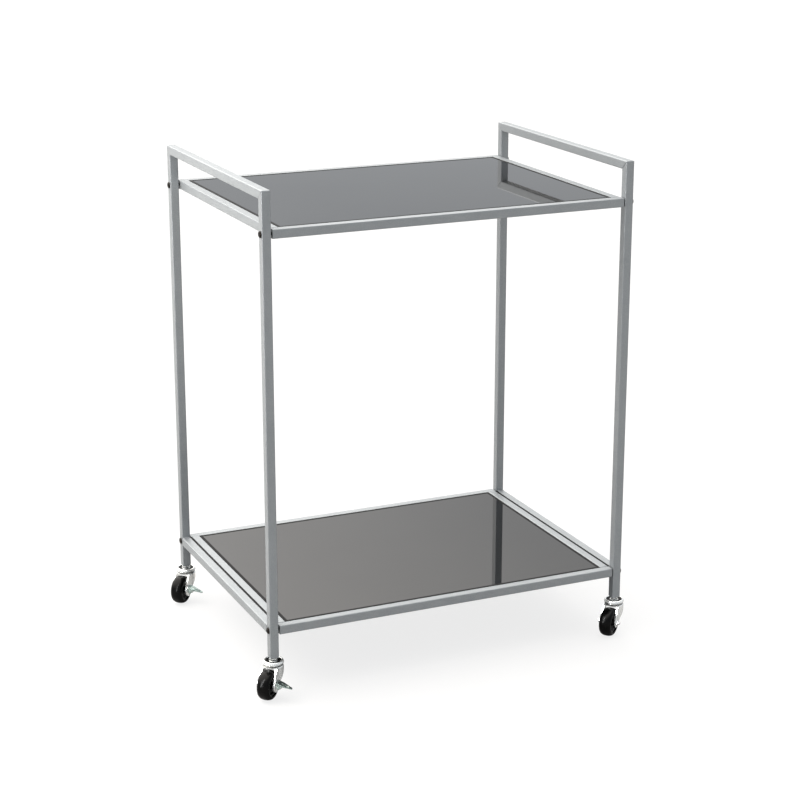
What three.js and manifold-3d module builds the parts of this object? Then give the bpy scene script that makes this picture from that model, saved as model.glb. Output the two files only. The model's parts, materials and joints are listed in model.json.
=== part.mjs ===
// Bar cart on wheels: two end frames and two shelf frames of square tube, a glass panel on each
// shelf, eight screws and four swivel casters, two of them with a side brake. Millimetres, +Z up.
// X runs along the shelves, from the left end frame to the right one, and -Y is the front. The
// origin lies on the floor, under the middle of the whole cart as it stands, casters included.
import * as THREE from "three";
import { mergeVertices } from "three/addons/utils/BufferGeometryUtils.js";
import Module from "manifold-3d";

const wasm = await Module();
wasm.setup();

// Frame
const TUBE = 15; // outer side of every square tube
const TUBE_WALL = 1.2;
const TUBE_RADIUS = 1.6; // outer corner radius of the tube's section
const WIDTH = 652; // over the end frames, along X
const DEPTH = 466; // over the posts, along Y
const POST_BOTTOM = 65; // the posts' open lower ends above the floor
const POST_LENGTH = 769; // up to the top of the handle bar
const UPPER_TOP = POST_BOTTOM + 708; // top of the upper shelf's rails
const LOWER_TOP = POST_BOTTOM + 55; // top of the lower shelf's rails
const SHELF_GAP = 2.4; // between a post and the shelf frame screwed to it
const SEAM = 0.3; // between two pieces that touch
const CROSS_RAIL_SEAM = 1; // at the ends of an end frame's lower cross rail

// Glass, and the ledges it rests on
const GLASS_THICKNESS = 5;
const GLASS_GAP = 2.6; // round the panel, inside the rails
const GLASS_SINK = 0.4; // the panel's top lies this far under the rails' top
const GLASS_RADIUS = 3; // corner radius in plan
const LEDGE_WIDTH = 14;
const LEDGE_THICKNESS = 2;

// Screws that hold a shelf frame between the end frames
const SCREW_RADIUS = 3;
const SCREW_LENGTH = 30;
const SCREW_HEAD_RADIUS = 5.5;
const SCREW_HEAD_HEIGHT = 2.3;
const SCREW_RIM_HEIGHT = 0.9; // the head's edge, under its dome
const SCREW_SOCKET_RADIUS = 2.2;
const SCREW_SOCKET_FLOOR = 0.7;
const SCREW_HOLE_RADIUS = 3.3;
const RAIL_PLUG_LENGTH = 18; // drilled plug in each end of a long rail

// Swivel head. Heights are above the floor.
const STEM_RADIUS = 4;
const STEM_TOP = 86;
const COLLAR_RADIUS = 7.5; // over the corners of the stem's hexagon
const FLANGE_RADIUS = 8.5;
const FLANGE_THICKNESS = 1.2;
const RIVET_RADIUS = 6;
const RIVET_THICKNESS = 1.4;
const INSERT_TOP = 90; // top of the plug that holds the stem in the post
const INSERT_RADIUS = 1; // its corners
const CROWN_BOTTOM = 51.4;
const CROWN_TOP = 53.2;
const CROWN_RADIUS = 16.8;
const CROWN_LIP = 21; // the crown's front edge, over the wheel
const RACE_TOP = 56;
const RACE_THICKNESS = 1.2;
const RACE_RADIUS = 16.6;
const RACE_NECK = 13.4; // the dark groove between race and crown
const CAP_BOTTOM = 56.3;
const CAP_FLOOR = 58;
const CAP_TOP = 60.7;
const CAP_RADIUS = 17.2;
const CAP_WELL = 12.4; // inner radius of the cap's raised rim

// Fork and wheel. Local X is the trail, from the swivel axis to the axle, and local Y the axle.
const TRAIL = 22;
const TYRE_RADIUS = 25;
const WHEEL_WIDTH = 22;
const LEG_INSIDE = 12.7; // from the wheel's middle plane
const LEG_OUTSIDE = 14.5;
const LEG_BACK = -8.8; // the legs' back edge at the crown
const LEG_SKIRT = 6; // how far that edge runs straight down
const EYE_RADIUS = 8; // round the axle
const BRAKE_EYE_RADIUS = 10.5; // the wider seat behind a brake lever
const AXLE_RADIUS = 2.5;
const AXLE_HEX_RADIUS = 4.7;
const AXLE_HEX_HEIGHT = 3.6;
const RUNNING_GAP = 0.3;
const HUB_RADIUS = 17.3;
const HUB_BOSS_RADIUS = 5.8;
const HUB_WEB = 4; // half the thickness of the disc between boss and rim
const HUB_RIM = 8.5; // half the rim's width
const TREAD_FLAT = 2.8; // half the flat running band
const SHOULDER_DROP = 3.6; // from the tread down to the shoulder
const SHOULDER_OUT = 9.9; // the shoulder, from the wheel's middle plane

// Side brake: a channel-shaped lever on a pin through the block on the axle's end. Distances out
// are from the wheel's middle plane.
const PIN_OUT = 20.5;
const PIN_RADIUS = 1.5;
const BLOCK_WIDTH = 6.4;
const BLOCK_HALF_HEIGHT = 3;
const BLOCK_OUT = 23.8;
const EAR_THICKNESS = 1.4;
const EAR_RADIUS = 4.6; // round the pin
const EAR_LENGTH = 13;
const PEDAL_ROOT_WIDTH = 14;
const PEDAL_TIP_WIDTH = 9;
const PEDAL_THICKNESS = 1.8;
const PEDAL_IN = 16;
const PEDAL_OUT = 43;
const PEDAL_HIGH = 34; // the pedal's inner edge above the floor
const PEDAL_LOW = 25.5; // its tip
const PEDAL_TAPER = 0.4; // share of the pedal's length before it narrows

// One entry a corner: where it stands, which way its caster trails at rest, and its brake
const CORNERS = [
  { name: "front_left", x: -1, y: -1, trail: -135.5, brake: true },
  { name: "front_right", x: 1, y: -1, trail: -141, brake: false },
  { name: "back_left", x: -1, y: 1, trail: -134.5, brake: true },
  { name: "back_right", x: 1, y: 1, trail: -138, brake: false },
];

// The frame's middle, seen from the origin: casters and pedals stick out to the left and in front
const FRAME_X = 10.35;
const FRAME_Y = 15.05;

const POST_X = (WIDTH - TUBE) / 2;
const POST_Y = (DEPTH - TUBE) / 2;
const SHELF_WIDTH = WIDTH - 2 * (TUBE + SHELF_GAP);
const SIDES = [
  ["left", -1],
  ["right", 1],
];
const ENDS = [
  ["front", -1],
  ["back", 1],
];
const QUARTER = Math.PI / 2;
const ROD_SIDES = 12;
const TURNED_SIDES = 16;
const TYRE_SIDES = 24;

const FINISHES = {
  paint: { color: 0x8b9195, roughness: 0.45, metalness: 0.6 },
  glass: { color: 0x0b0b0c, roughness: 0.03, metalness: 0 },
  blackSteel: { color: 0x1c1714, roughness: 0.45, metalness: 0.8 },
  zinc: { color: 0xd5d8d6, roughness: 0.25, metalness: 1 },
  plastic: { color: 0x141414, roughness: 0.5, metalness: 0 },
  rubber: { color: 0x101010, roughness: 0.6, metalness: 0 },
};

const cart = new THREE.Group();
cart.position.set(FRAME_X, FRAME_Y, 0);

function addMesh(parent, name, geometry, finish) {
  const material = new THREE.MeshStandardMaterial(FINISHES[finish]);
  const mesh = new THREE.Mesh(geometry, material);
  mesh.name = name;
  parent.add(mesh);
  return mesh;
}

// A closed geometry as a solid, for joining and cutting
function solid(geometry) {
  const bare = geometry.clone();
  bare.deleteAttribute("normal");
  bare.deleteAttribute("uv");
  const merged = mergeVertices(bare, 1e-4);
  const vertProperties = merged.attributes.position.array;
  const triVerts = new Uint32Array(merged.index.array);
  return new wasm.Manifold(
    new wasm.Mesh({ numProp: 3, vertProperties, triVerts }),
  );
}

function geometryOf(made) {
  const { vertProperties, triVerts } = made.getMesh();
  const points = new THREE.Float32BufferAttribute(vertProperties, 3);
  const geometry = new THREE.BufferGeometry().setAttribute("position", points);
  geometry.setIndex(new THREE.Uint32BufferAttribute(triVerts, 1));
  geometry.computeVertexNormals();
  return geometry;
}

// A rectangle with round corners about the origin: a THREE.Shape, or a THREE.Path for a hole
function roundedRectangle(Kind, width, depth, radius) {
  const outline = new Kind();
  const corners = [
    [1, 1],
    [-1, 1],
    [-1, -1],
    [1, -1],
  ];
  corners.forEach(([x, y], i) => {
    const centreX = x * (width / 2 - radius);
    const centreY = y * (depth / 2 - radius);
    outline.absarc(centreX, centreY, radius, i * QUARTER, (i + 1) * QUARTER);
  });
  outline.closePath();
  return outline;
}

function extrude(shape, depth, curveSegments = 1) {
  const options = { depth, curveSegments, bevelEnabled: false };
  return new THREE.ExtrudeGeometry(shape, options);
}

// A shape drawn in X and Z, made a plate between two places along Y
function sidePlate(shape, fromY, toY, curveSegments) {
  const plate = extrude(shape, toY - fromY, curveSegments);
  return plate.rotateX(QUARTER).translate(0, toY, 0);
}

// A rod along +Z between two heights
function rod(radius, from, to, sides = ROD_SIDES) {
  const cylinder = new THREE.CylinderGeometry(radius, radius, to - from, sides);
  return cylinder.rotateX(QUARTER).translate(0, 0, (from + to) / 2);
}

// A turned piece about +Z, from [radius, height] points
function turned(points, sides = TURNED_SIDES) {
  const profile = points.map(([r, z]) => new THREE.Vector2(r, z));
  return new THREE.LatheGeometry(profile, sides).rotateX(QUARTER);
}

// A square tube from the origin up +Z
function tube(length) {
  const bore = TUBE - 2 * TUBE_WALL;
  const section = roundedRectangle(THREE.Shape, TUBE, TUBE, TUBE_RADIUS);
  section.holes.push(
    roundedRectangle(THREE.Path, bore, bore, TUBE_RADIUS - TUBE_WALL),
  );
  return extrude(section, length);
}

// Slopes one end of a tube at 45 degrees. The wall on the `outer` side of local Y keeps its
// length, less half the seam, and the wall opposite loses a tube's side.
function mitre(geometry, end, inward, outer) {
  const points = geometry.attributes.position;
  for (let i = 0; i < points.count; i += 1) {
    if (Math.abs(points.getZ(i) - end) < SEAM) {
      const inset = TUBE / 2 - outer * points.getY(i) + SEAM * Math.SQRT1_2;
      points.setZ(i, end + inward * inset);
    }
  }
  return geometry;
}

// A post with its mitred top, drilled through along X for the two shelves' screws
function post(outer) {
  let made = solid(mitre(tube(POST_LENGTH), POST_LENGTH, -1, outer));
  for (const top of [UPPER_TOP, LOWER_TOP]) {
    const drill = rod(SCREW_HOLE_RADIUS, -TUBE, TUBE).rotateY(QUARTER);
    drill.translate(0, 0, top - TUBE / 2 - POST_BOTTOM);
    made = made.subtract(solid(drill));
  }
  return geometryOf(made);
}

// A tube along Y, centred on a place
function addCrossTube(name, geometry, length, x, z) {
  const rail = addMesh(cart, name, geometry, "paint");
  rail.rotation.x = -QUARTER;
  rail.position.set(x, -length / 2, z);
}

function addEndFrame(name, side) {
  const x = side * POST_X;
  for (const [end, outer] of ENDS) {
    const upright = addMesh(cart, `${end}_${name}_post`, post(outer), "paint");
    upright.position.set(x, outer * POST_Y, POST_BOTTOM);
  }
  const handle = mitre(mitre(tube(DEPTH), 0, 1, -1), DEPTH, -1, -1);
  const handleZ = POST_BOTTOM + POST_LENGTH - TUBE / 2;
  addCrossTube(`${name}_handle_bar`, handle, DEPTH, x, handleZ);
  const length = DEPTH - 2 * (TUBE + CROSS_RAIL_SEAM);
  const crossZ = LOWER_TOP - TUBE / 2;
  addCrossTube(`${name}_cross_rail`, tube(length), length, x, crossZ);
}

// A long rail along +Z about the origin, with a drilled plug in each end for its screws
function longRail() {
  const side = TUBE - TUBE_WALL;
  const middle = (SHELF_WIDTH - RAIL_PLUG_LENGTH) / 2;
  let made = solid(tube(SHELF_WIDTH).translate(0, 0, -SHELF_WIDTH / 2));
  for (const end of [-1, 1]) {
    const plug = new THREE.BoxGeometry(side, side, RAIL_PLUG_LENGTH);
    made = made.add(solid(plug.translate(0, 0, end * middle)));
  }
  const drill = rod(SCREW_HOLE_RADIUS, -SHELF_WIDTH, SHELF_WIDTH);
  return geometryOf(made.subtract(solid(drill)));
}

function addShelf(name, top) {
  const z = top - TUBE / 2;
  for (const [end, side] of ENDS) {
    const rail = addMesh(cart, `${name}_shelf_${end}_rail`, longRail(), "paint");
    rail.rotation.y = QUARTER;
    rail.position.set(0, side * POST_Y, z);
  }
  const length = DEPTH - 2 * (TUBE + SEAM);
  for (const [end, side] of SIDES) {
    const x = (side * (SHELF_WIDTH - TUBE)) / 2;
    addCrossTube(`${name}_shelf_${end}_rail`, tube(length), length, x, z);
  }

  const openingX = SHELF_WIDTH - 2 * TUBE;
  const openingY = DEPTH - 2 * TUBE;
  const glassBottom = top - GLASS_SINK - GLASS_THICKNESS;
  const outline = roundedRectangle(
    THREE.Shape,
    openingX - 2 * GLASS_GAP,
    openingY - 2 * GLASS_GAP,
    GLASS_RADIUS,
  );
  const sheet = extrude(outline, GLASS_THICKNESS);
  const panel = addMesh(cart, `${name}_glass_panel`, sheet, "glass");
  panel.position.z = glassBottom;

  const ledgeLength = openingX - 2 * SEAM;
  const ledgeY = (openingY - LEDGE_WIDTH) / 2 - SEAM;
  const ledgeZ = glassBottom - SEAM - LEDGE_THICKNESS / 2;
  for (const [end, side] of ENDS) {
    const bar = new THREE.BoxGeometry(ledgeLength, LEDGE_WIDTH, LEDGE_THICKNESS);
    const ledge = addMesh(cart, `${name}_glass_ledge_${end}`, bar, "paint");
    ledge.position.set(0, side * ledgeY, ledgeZ);
  }
}

// A screw whose head stands on Z = 0 and whose shank runs down -Z
function screw() {
  const points = [
    [0, -SCREW_LENGTH],
    [SCREW_RADIUS, -SCREW_LENGTH],
    [SCREW_RADIUS, 0],
    [SCREW_HEAD_RADIUS, 0],
    [SCREW_HEAD_RADIUS, SCREW_RIM_HEIGHT],
    [SCREW_SOCKET_RADIUS, SCREW_HEAD_HEIGHT],
    [SCREW_SOCKET_RADIUS, SCREW_SOCKET_FLOOR],
    [0, SCREW_SOCKET_FLOOR],
  ];
  return turned(points, ROD_SIDES);
}

function addScrews(corner) {
  for (const [shelf, top] of [
    ["upper", UPPER_TOP],
    ["lower", LOWER_TOP],
  ]) {
    const name = `${corner.name}_${shelf}_screw`;
    const fastener = addMesh(cart, name, screw(), "blackSteel");
    fastener.rotation.y = corner.x * QUARTER;
    const x = corner.x * (WIDTH / 2 + SEAM);
    fastener.position.set(x, corner.y * POST_Y, top - TUBE / 2);
  }
}

// The plug inside a post's lower end, which takes the caster's stem
function stemInsert() {
  const side = TUBE - 2 * (TUBE_WALL + SEAM);
  const height = INSERT_TOP - POST_BOTTOM - SEAM;
  const section = roundedRectangle(THREE.Shape, side, side, INSERT_RADIUS);
  const drill = rod(STEM_RADIUS + RUNNING_GAP, -1, INSERT_TOP);
  const made = solid(extrude(section, height)).subtract(solid(drill));
  return geometryOf(made).translate(0, 0, POST_BOTTOM + SEAM);
}

// The threaded stem, with its hexagon under the post, its flange on the cap's floor and the
// riveted end under the crown
function stem() {
  const rivetTop = CROWN_BOTTOM - RUNNING_GAP;
  const flangeBottom = CAP_FLOOR + SEAM;
  const flangeTop = flangeBottom + FLANGE_THICKNESS;
  const points = [
    [0, rivetTop - RIVET_THICKNESS],
    [RIVET_RADIUS, rivetTop - RIVET_THICKNESS],
    [RIVET_RADIUS, rivetTop],
    [STEM_RADIUS, rivetTop],
    [STEM_RADIUS, flangeBottom],
    [FLANGE_RADIUS, flangeBottom],
    [FLANGE_RADIUS, flangeTop],
    [STEM_RADIUS, flangeTop],
    [STEM_RADIUS, STEM_TOP],
    [0, STEM_TOP],
  ];
  const collar = rod(COLLAR_RADIUS, flangeTop - SEAM, POST_BOTTOM - SEAM, 6);
  return geometryOf(solid(turned(points, ROD_SIDES)).add(solid(collar)));
}

// The fixed cap over the ball race: a disc with a round raised rim
function swivelCap() {
  const bore = STEM_RADIUS + RUNNING_GAP;
  const rimMiddle = (CAP_RADIUS + CAP_WELL) / 2;
  return turned([
    [bore, CAP_BOTTOM],
    [CAP_RADIUS - 0.5, CAP_BOTTOM],
    [CAP_RADIUS, CAP_BOTTOM + 0.8],
    [CAP_RADIUS - 0.9, CAP_TOP - 1.8],
    [rimMiddle, CAP_TOP],
    [CAP_WELL, CAP_TOP - 0.4],
    [CAP_WELL, CAP_FLOOR],
    [bore, CAP_FLOOR],
    [bore, CAP_BOTTOM],
  ]);
}

// The fork: a crown that carries the ball race, and two legs down to the axle
function fork(eyeRadius) {
  const lipX = CROWN_RADIUS - 1;
  const sideAngle = Math.asin(LEG_OUTSIDE / CROWN_RADIUS);
  const crownOutline = new THREE.Shape();
  crownOutline.absarc(0, 0, CROWN_RADIUS, sideAngle, 2 * Math.PI - sideAngle);
  crownOutline.lineTo(lipX, -LEG_OUTSIDE);
  crownOutline.quadraticCurveTo(CROWN_LIP, 0, lipX, LEG_OUTSIDE);
  crownOutline.closePath();
  const crown = extrude(crownOutline, CROWN_TOP - CROWN_BOTTOM, 6);

  const race = turned([
    [0, CROWN_TOP - SEAM],
    [RACE_NECK, CROWN_TOP - SEAM],
    [RACE_NECK, RACE_TOP - RACE_THICKNESS],
    [RACE_RADIUS, RACE_TOP - RACE_THICKNESS],
    [RACE_RADIUS, RACE_TOP],
    [0, RACE_TOP],
  ]);

  const legOutline = new THREE.Shape();
  const eyeBack = Math.PI * 1.1;
  const eyeFront = Math.PI * 2.12;
  legOutline.moveTo(lipX, CROWN_TOP);
  legOutline.lineTo(LEG_BACK, CROWN_TOP);
  legOutline.lineTo(LEG_BACK, CROWN_TOP - LEG_SKIRT);
  legOutline.absarc(TRAIL, TYRE_RADIUS, eyeRadius, eyeBack, eyeFront);
  legOutline.closePath();

  let made = solid(crown.translate(0, 0, CROWN_BOTTOM)).add(solid(race));
  for (const fromY of [-LEG_OUTSIDE, LEG_INSIDE]) {
    const toY = fromY + LEG_OUTSIDE - LEG_INSIDE;
    made = made.add(solid(sidePlate(legOutline, fromY, toY, 4)));
  }
  const stemHole = rod(STEM_RADIUS + RUNNING_GAP, 0, CAP_TOP);
  const axleHole = rod(AXLE_RADIUS + SEAM, -CAP_RADIUS, CAP_RADIUS);
  axleHole.rotateX(QUARTER).translate(TRAIL, 0, TYRE_RADIUS);
  return geometryOf(made.subtract(solid(stemHole)).subtract(solid(axleHole)));
}

// The axle: a hexagon head at one end, and a nut or the brake's block at the other
function axleBolt(brake) {
  const seat = LEG_OUTSIDE + SEAM;
  const hexEnd = seat + AXLE_HEX_HEIGHT;
  const head = rod(AXLE_HEX_RADIUS, -hexEnd, -seat, 6);
  const shankEnd = brake ? BLOCK_OUT - SEAM : hexEnd + STEM_RADIUS / 2;
  let made = solid(rod(AXLE_RADIUS, -seat - SEAM, shankEnd)).add(solid(head));
  if (brake) {
    const length = BLOCK_OUT - seat;
    const height = 2 * BLOCK_HALF_HEIGHT;
    const block = new THREE.BoxGeometry(BLOCK_WIDTH, height, length);
    block.translate(0, 0, seat + length / 2);
    const pinHole = rod(PIN_RADIUS + RUNNING_GAP, -TUBE, TUBE);
    pinHole.rotateY(QUARTER).translate(0, 0, PIN_OUT);
    made = made.add(solid(block)).subtract(solid(pinHole));
  } else {
    made = made.add(solid(rod(AXLE_HEX_RADIUS, seat, hexEnd, 6)));
  }
  return geometryOf(made).rotateX(-QUARTER).translate(TRAIL, 0, TYRE_RADIUS);
}

// Lays a piece turned about +Z on the axle
function onAxle(geometry) {
  return geometry.rotateX(QUARTER).translate(TRAIL, 0, TYRE_RADIUS);
}

function wheelHub() {
  const bore = AXLE_RADIUS + RUNNING_GAP;
  const boss = LEG_INSIDE - RUNNING_GAP;
  const points = [
    [bore, -boss],
    [HUB_BOSS_RADIUS, -boss],
    [HUB_BOSS_RADIUS, -HUB_WEB],
    [HUB_RADIUS - 2.2, -HUB_WEB],
    [HUB_RADIUS, -HUB_RIM],
    [HUB_RADIUS, HUB_RIM],
    [HUB_RADIUS - 2.2, HUB_WEB],
    [HUB_BOSS_RADIUS, HUB_WEB],
    [HUB_BOSS_RADIUS, boss],
    [bore, boss],
    [bore, -boss],
  ];
  return onAxle(turned(points));
}

function tyre() {
  const inner = HUB_RADIUS + SEAM;
  const half = WHEEL_WIDTH / 2;
  const points = [
    [inner, -HUB_RIM],
    [inner + 1, -half],
    [TYRE_RADIUS - SHOULDER_DROP, -SHOULDER_OUT],
    [TYRE_RADIUS, -TREAD_FLAT],
    [TYRE_RADIUS, TREAD_FLAT],
    [TYRE_RADIUS - SHOULDER_DROP, SHOULDER_OUT],
    [inner + 1, half],
    [inner, HUB_RIM],
    [inner, -HUB_RIM],
  ];
  return onAxle(turned(points, TYRE_SIDES));
}

// The brake lever: a sloping pedal, and two ears that hang from it down to the pin
function brakeLever() {
  const fall = PEDAL_HIGH - PEDAL_LOW;
  const reach = PEDAL_OUT - PEDAL_IN;
  const slope = Math.atan2(fall, reach);
  const length = Math.hypot(fall, reach);
  const root = PEDAL_ROOT_WIDTH / 2;
  const tip = PEDAL_TIP_WIDTH / 2;
  const outline = new THREE.Shape();
  outline.moveTo(-root, 0);
  outline.lineTo(root, 0);
  outline.lineTo(root, length * PEDAL_TAPER);
  outline.lineTo(tip, length - tip);
  outline.absarc(0, length - tip, tip, 0, Math.PI);
  outline.lineTo(-root, length * PEDAL_TAPER);
  outline.closePath();
  const pedal = extrude(outline, PEDAL_THICKNESS, 3);
  pedal.translate(0, 0, -PEDAL_THICKNESS).rotateX(-slope);
  pedal.translate(0, PEDAL_IN, PEDAL_HIGH);

  const ear = new THREE.Shape();
  const earTop = (out) =>
    PEDAL_HIGH - out * Math.tan(slope) - PEDAL_THICKNESS / 2;
  ear.absarc(PIN_OUT, TYRE_RADIUS, EAR_RADIUS, Math.PI, 2 * Math.PI);
  ear.lineTo(PEDAL_IN + EAR_LENGTH, earTop(EAR_LENGTH));
  ear.lineTo(PEDAL_IN + SEAM, earTop(SEAM));
  ear.closePath();

  let made = solid(pedal);
  for (const from of [-root, root - EAR_THICKNESS]) {
    const plate = extrude(ear, EAR_THICKNESS, 3);
    plate.rotateX(QUARTER).rotateZ(QUARTER).translate(from, 0, 0);
    made = made.add(solid(plate));
  }
  const pin = rod(PIN_RADIUS, -root - SEAM, root + SEAM).rotateY(QUARTER);
  made = made.add(solid(pin.translate(0, PIN_OUT, TYRE_RADIUS)));
  return geometryOf(made).translate(TRAIL, 0, 0);
}

function addCaster(corner) {
  const place = new THREE.Group();
  place.position.set(corner.x * POST_X, corner.y * POST_Y, 0);
  cart.add(place);
  addMesh(place, `${corner.name}_stem_insert`, stemInsert(), "plastic");
  addMesh(place, `${corner.name}_caster_stem`, stem(), "zinc");
  addMesh(place, `${corner.name}_swivel_cap`, swivelCap(), "zinc");

  const swivel = new THREE.Group();
  swivel.rotation.z = THREE.MathUtils.degToRad(corner.trail);
  place.add(swivel);
  const eye = corner.brake ? BRAKE_EYE_RADIUS : EYE_RADIUS;
  addMesh(swivel, `${corner.name}_caster_fork`, fork(eye), "zinc");
  addMesh(swivel, `${corner.name}_axle_bolt`, axleBolt(corner.brake), "zinc");
  addMesh(swivel, `${corner.name}_wheel_hub`, wheelHub(), "plastic");
  addMesh(swivel, `${corner.name}_tyre`, tyre(), "rubber");
  if (corner.brake) {
    addMesh(swivel, `${corner.name}_brake_lever`, brakeLever(), "zinc");
  }
}

for (const [name, side] of SIDES) {
  addEndFrame(name, side);
}
addShelf("upper", UPPER_TOP);
addShelf("lower", LOWER_TOP);
for (const corner of CORNERS) {
  addScrews(corner);
  addCaster(corner);
}

export default cart;
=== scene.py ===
"""Looks for the bar cart: powder-coated square tube, black glass, zinc-plated swivel casters.

Every piece is made in mesh code about its own axis in millimetres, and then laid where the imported
frame has its CAD node, in metres.
"""

import json
import math

import bmesh
import bpy
from mathutils import Matrix, Vector


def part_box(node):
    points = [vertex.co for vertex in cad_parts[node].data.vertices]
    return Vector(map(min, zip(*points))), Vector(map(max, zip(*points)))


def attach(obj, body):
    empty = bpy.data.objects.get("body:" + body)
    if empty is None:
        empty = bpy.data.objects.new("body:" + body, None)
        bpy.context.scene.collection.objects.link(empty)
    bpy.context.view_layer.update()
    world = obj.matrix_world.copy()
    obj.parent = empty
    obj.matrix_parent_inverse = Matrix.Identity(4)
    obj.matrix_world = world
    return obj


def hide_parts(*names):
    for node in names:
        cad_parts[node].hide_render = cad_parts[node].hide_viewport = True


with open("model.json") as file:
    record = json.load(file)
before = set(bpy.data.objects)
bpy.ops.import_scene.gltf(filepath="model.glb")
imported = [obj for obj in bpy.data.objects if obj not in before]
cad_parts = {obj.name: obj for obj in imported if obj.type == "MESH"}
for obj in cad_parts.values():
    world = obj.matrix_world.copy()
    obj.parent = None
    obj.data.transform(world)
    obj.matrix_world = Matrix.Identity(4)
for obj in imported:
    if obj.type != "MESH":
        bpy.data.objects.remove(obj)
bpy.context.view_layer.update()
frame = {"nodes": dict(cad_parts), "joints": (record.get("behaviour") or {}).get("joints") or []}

MM = 0.001
X, Y, Z = Vector((1, 0, 0)), Vector((0, 1, 0)), Vector((0, 0, 1))
CORNERS = ("front_left", "front_right", "back_left", "back_right")
SHELVES = ("upper", "lower")
JOINTS = {joint["name"]: joint for joint in frame["joints"]}

# Square tube
TUBE_HALF = 7.5
TUBE_RADIUS = 1.6
TUBE_WALL = 1.2
TUBE_CORNER_STEPS = 5
CUT_EDGE = 0.3  # rounding of a sawn end
MITRE_SEAM = 0.3
MITRE_ROUND = 2.0  # rounding of the outer edge where handle and post meet
MITRE_DROPS = (0, 0.25, 0.55, 0.95, 1.4, 2.0, 3.0)  # of the rings behind a mitred edge
GROOVE = 0.6  # of the seam on a mitre's inward face
SCREW_HOLE = 3.3
PLUG_DEPTH = 18

# Swivel caster, heights above the floor and distances from the swivel axis or the wheel's middle
CROWN_RADIUS = 16.8
CROWN_TOP = 53.2
SHEET = 1.7
CROWN_BEND = 3.0
SKIRT_BOTTOM = 47.2
LEG_OUT = 14.5
LEG_FRONT = 15.8
LIP_FRONT = 21.0
TRAIL = 22.0
AXLE_HEIGHT = 25.0
FLANGE_IN = 11.5
TYRE_RADIUS = 25.0
TYRE_HALF = 11.0
STEM_RADIUS = 4.0
STEM_BORE = 4.3  # in everything the stem goes through
STEM_SINK, STEM_PITCH = 0.45, 1.2  # of its thread
AXLE_RADIUS = 2.5
NUT_RADIUS = 4.7
PLAIN_EYE, BRAKE_EYE = 8.0, 10.5  # a leg's end round the axle, without and with a brake
PIN_OUT = 20.5
PEDAL_HIGH, PEDAL_LOW = 34.0, 25.5
PEDAL_IN, PEDAL_OUT = 16.0, 43.0
PEDAL_TAPER = 26.0  # where it starts to narrow
PEDAL_TIP = 4.0  # length of its round tip
PEDAL_HALF, PEDAL_NARROWING = 7.0, 3.8
PEDAL_SHEET, PEDAL_RIB = 1.4, 0.8
EAR_RADIUS, EAR_FLARE = 3.4, 4.0  # of the tongues that hold the lever's pin
ROUND = 64  # sides of a turned piece
BOLT_SIDES = 48


# ---------------------------------------------------------------- mesh tools


def circle(radius, z, sides=ROUND):
    """A level ring of points."""
    turns = (2 * math.pi * i / sides for i in range(sides))
    return [Vector((radius * math.cos(t), radius * math.sin(t), z)) for t in turns]


def hexagon(radius, z, sides=ROUND, rounding=0.0):
    """A level ring on a hexagon whose corners lie at radius, with as many points as circle()."""
    ring = []
    for i in range(sides):
        turn = 2 * math.pi * i / sides
        off_flat = (turn % (math.pi / 3)) - math.pi / 6
        flat = radius * math.cos(math.pi / 6) / math.cos(off_flat)
        reach = flat + (radius * math.cos(math.pi / 6) - flat) * rounding
        ring.append(Vector((reach * math.cos(turn), reach * math.sin(turn), z)))
    return ring


def square(half_x, half_y, radius, z, steps=TUBE_CORNER_STEPS):
    """A level ring on a rectangle with round corners."""
    ring = []
    for i, (sign_x, sign_y) in enumerate(((1, 1), (-1, 1), (-1, -1), (1, -1))):
        centre = Vector((sign_x * (half_x - radius), sign_y * (half_y - radius), z))
        for step in range(steps + 1):
            turn = math.pi / 2 * (i + step / steps)
            ring.append(centre + radius * (math.cos(turn) * X + math.sin(turn) * Y))
    return ring


def arc(centre, radius, start, end, steps):
    """Points of an arc as pairs, angles in degrees."""
    turns = (math.radians(start + (end - start) * i / steps) for i in range(steps + 1))
    return [(centre[0] + radius * math.cos(t), centre[1] + radius * math.sin(t)) for t in turns]


def loft(rings, closed=False):
    """Quads between rings of equal length. An open loft is capped at both ends."""
    made = bmesh.new()
    rows = [[made.verts.new(point) for point in ring] for ring in rings]
    pairs = list(zip(rows, rows[1:]))
    if closed:
        pairs.append((rows[-1], rows[0]))
    for low, high in pairs:
        for i in range(len(low)):
            j = (i + 1) % len(low)
            made.faces.new((low[i], low[j], high[j], high[i]))
    if not closed:
        made.faces.new(reversed(rows[0]))
        made.faces.new(rows[-1])
    bmesh.ops.recalc_face_normals(made, faces=made.faces)
    return made


def turned(profile, sides=ROUND, closed=False):
    """A turned piece about Z from (radius, height) pairs."""
    return loft([circle(radius, z, sides) for radius, z in profile], closed)


def prism(points, low, high):
    """An outline in X and Y between two heights."""
    return loft([[Vector((x, y, z)) for x, y in points] for z in (low, high)])


def moved(made, matrix):
    bmesh.ops.transform(made, matrix=matrix, verts=made.verts)
    return made


def joined(*parts):
    """Several meshes as one, which don't have to touch."""
    whole = bmesh.new()
    for part in parts:
        mesh = bpy.data.meshes.new("part")
        part.to_mesh(mesh)
        part.free()
        whole.from_mesh(mesh)
        bpy.data.meshes.remove(mesh)
    return whole


def evaluated(made, set_modifier):
    """The mesh after one modifier, which set_modifier adds to a helper object."""
    mesh = bpy.data.meshes.new("helper")
    made.to_mesh(mesh)
    made.free()
    helper = bpy.data.objects.new("helper", mesh)
    bpy.context.scene.collection.objects.link(helper)
    set_modifier(helper)
    graph = bpy.context.evaluated_depsgraph_get()
    result = bmesh.new()
    result.from_object(helper, graph)
    bpy.data.objects.remove(helper)
    bpy.data.meshes.remove(mesh)
    return result


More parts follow.
